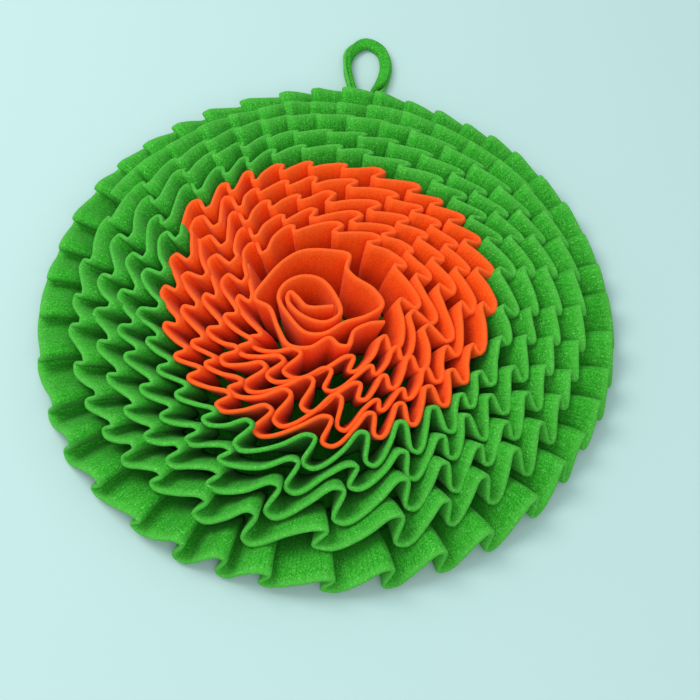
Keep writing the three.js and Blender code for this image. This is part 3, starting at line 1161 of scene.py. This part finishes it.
def finish_piece(piece: Object, slot: Slot) -> Object:
    """Dresses a piece and lets it ride on the mat's only body.

    Args:
        piece: the object. One without a material gets its slot's fleece.
        slot: the record's material slot.

    Returns:
        The same object.
    """
    if not piece.data.materials:
        if slot not in MATERIALS:
            MATERIALS[slot] = FINISHES[slot].material()
        piece.data.materials.append(MATERIALS[slot])
    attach(piece, BODY)
    LOG.info("%s: %d faces", piece.name, len(piece.data.polygons))
    return piece


# ---- stitches


@dataclass(frozen=True)
class Stitches:
    """The thread that sews the strips down, where it shows on the base cloth's underside."""

    name: str = "seam_stitches"
    pitch: float = 4.6
    length: float = 3.4
    thick: float = 0.6
    height: float = 0.32
    seam_steps: int = 180
    bead: tuple[int, int] = (6, 5)

    def seam(self) -> Object:
        """The seams: one spiral and one ring near the rim.

        Returns:
            An object with one line of edges for each turn.
        """
        points, edges = [], []
        share = np.linspace(0, 1, self.seam_steps + 1)
        for row, join in enumerate(SPIRAL.start):
            angle = join + TURN * share
            root = SPIRAL.profile(row, angle, share)["root"]
            start = len(points)
            points.extend(place(root, angle, np.full_like(angle, self.height)))
            edges.extend((start + i, start + i + 1) for i in range(self.seam_steps))
        return make_object(self.name + "_line", np.array(points), [], edges)

    def tree(self, material: Material) -> NodeTree:
        """Sets one stitch after another along a line, each a slim bead of thread.

        Args:
            material: the thread's.

        Returns:
            The tree, with inputs named Pitch and Size, in metres.
        """
        group = bpy.data.node_groups.new("stitches_along_seam", "GeometryNodeTree")
        for name, way, kind in (
            ("Geometry", "INPUT", "Geometry"), ("Pitch", "INPUT", "Float"),
            ("Size", "INPUT", "Vector"), ("Geometry", "OUTPUT", "Geometry"),
        ):
            group.interface.new_socket(name, in_out=way, socket_type="NodeSocket" + kind)
        tree = Tree(group)
        given = tree.add("NodeGroupInput")
        line = tree.add("GeometryNodeMeshToCurve", Mesh=given.outputs["Geometry"])
        even = tree.add(
            "GeometryNodeResampleCurve", {"mode": "LENGTH"},
            Curve=line.outputs["Curve"], Length=given.outputs["Pitch"],
        )
        ahead = tree.add("GeometryNodeInputTangent")
        turned = tree.add(
            "FunctionNodeAlignRotationToVector", {"axis": "X"}, Vector=ahead.outputs["Tangent"],
        )
        segments, rings = self.bead
        bead = tree.add("GeometryNodeMeshUVSphere", Segments=segments, Rings=rings, Radius=0.5)
        beads = tree.add(
            "GeometryNodeInstanceOnPoints",
            Points=even.outputs["Curve"], Instance=bead.outputs["Mesh"],
            Rotation=turned.outputs["Rotation"], Scale=given.outputs["Size"],
        )
        real = tree.add("GeometryNodeRealizeInstances", Geometry=beads.outputs["Instances"])
        dressed = tree.add(
            "GeometryNodeSetMaterial", Geometry=real.outputs["Geometry"], Material=material,
        )
        tree.add("NodeGroupOutput", Geometry=dressed.outputs["Geometry"])
        return group

    def build(self) -> Object:
        """Makes all the stitches as one plain mesh.

        Returns:
            The finished piece.
        """
        seam = self.seam()
        group = self.tree(Thread().material())
        modifier = seam.modifiers.new("stitches", "NODES")
        modifier.node_group = group
        thick = self.thick * MM
        sizes = {"Pitch": self.pitch * MM, "Size": (self.length * MM, thick, thick)}
        for item in group.interface.items_tree:
            if item.in_out == "INPUT" and item.name in sizes:
                modifier[item.identifier] = sizes[item.name]
        seam.update_tag()
        evaluated = seam.evaluated_get(bpy.context.evaluated_depsgraph_get())
        mesh = bpy.data.meshes.new_from_object(evaluated)
        bpy.data.objects.remove(seam)
        mesh.name = self.name
        mesh.shade_smooth()
        return finish_piece(add_object(self.name, mesh), Slot.GREEN)


# ---- floor, light and camera


@dataclass(frozen=True)
class Lamp:
    """A round soft lamp that points at the mat: its place and width in metres, and its watts."""

    name: str
    place: tuple[float, float, float]
    size: float
    power: float

    def hang(self) -> None:
        """Adds the lamp to the scene and turns its -Z, along which it shines, to the mat."""
        light = bpy.data.lights.new(self.name, "AREA")
        light.shape = "DISK"
        light.size = self.size
        light.energy = self.power
        lamp = add_object(self.name, light)
        lamp.location = self.place
        x, y, z = unit(-np.array(self.place))
        lamp.rotation_euler = (math.acos(-z), 0.0, math.atan2(-x, y))


@dataclass(frozen=True)
class Studio:
    """A pale floor, soft daylight from the upper left, and a camera that looks down on the mat.

    The camera's distance is in metres and its elevation in degrees. The floor's half side and its
    drop below the cloth are in millimetres.
    """

    distance: float = 0.9
    elevation: float = 59.0
    focal_pixels: float = 1265.0
    frame_pixels: float = 700.0
    centre_pixel: tuple[float, float] = (325.0, 320.0)
    sensor: float = 36.0
    floor: str = "#b6d3cf"
    floor_side: float = 3000
    floor_drop: float = 0.4
    sky: str = "#eefaff"
    sky_strength: float = 0.66

    LAMPS = (
        Lamp("window", (-0.9, 0.5, 1.5), 1.2, 19.0),
        Lamp("fill", (0.1, -1.3, 1.6), 1.6, 12.0),
    )

    def build(self) -> None:
        """Makes the floor, the lights and the camera."""
        self.make_floor()
        self.make_lights()
        self.make_camera()

    def make_floor(self) -> None:
        """A plain pale aqua table top, painted matt."""
        side, low = self.floor_side, -self.floor_drop
        corners = [(-side, -side, low), (side, -side, low), (side, side, low), (-side, side, low)]
        floor = make_object("floor", np.array(corners), [(0, 1, 2, 3)])
        material, tree = empty_material("matt_painted_board")
        paint = tree.add(
            "ShaderNodeBsdfPrincipled", Base_Color=linear(self.floor), Roughness=0.9,
        )
        tree.add("ShaderNodeOutputMaterial", Surface=paint.outputs[0])
        floor.data.materials.append(material)

    def make_lights(self) -> None:
        """One broad soft light at the upper left and a weak fill, under a pale sky."""
        world = bpy.data.worlds.new("pale_room")
        world.use_nodes = True
        backdrop = world.node_tree.nodes["Background"]
        backdrop.inputs["Color"].default_value = linear(self.sky)
        backdrop.inputs["Strength"].default_value = self.sky_strength
        bpy.context.scene.world = world
        bpy.context.scene.view_settings.view_transform = "Standard"
        for lamp in self.LAMPS:
            lamp.hang()

    def make_camera(self) -> None:
        """A camera above the near side, tilted down at the middle of the mat."""
        camera = bpy.data.cameras.new("camera")
        camera.sensor_width = self.sensor
        camera.lens = self.focal_pixels / self.frame_pixels * self.sensor
        half = self.frame_pixels / 2
        camera.shift_x = (half - self.centre_pixel[0]) / self.frame_pixels
        camera.shift_y = (self.centre_pixel[1] - half) / self.frame_pixels
        tripod = add_object("camera", camera)
        tilt = math.radians(self.elevation)
        tripod.location = (0.0, -self.distance * math.cos(tilt), self.distance * math.sin(tilt))
        tripod.rotation_euler = (math.radians(90 - self.elevation), 0.0, 0.0)
        bpy.context.scene.camera = tripod


# ---- the whole mat


def main() -> None:
    """Builds and dresses the mat, and sets it in the studio."""
    logging.basicConfig(level=logging.INFO, format="%(name)s %(message)s")
    Studio().build()
    BaseCloth().build()
    Rosette().build()
    Ruffle("orange_ruffle", (0, 1, 2, 3, 4), Slot.ORANGE).build()
    Ruffle("green_ruffle", (5, 6, 7, 8), Slot.GREEN).build()
    Ruffle("rim_ruffle", (9,), Slot.GREEN, steps=6, deepening=(1.1, 1.1)).build()
    HangLoop().build()
    Stitches().build()


if __name__ == "__main__":
    main()
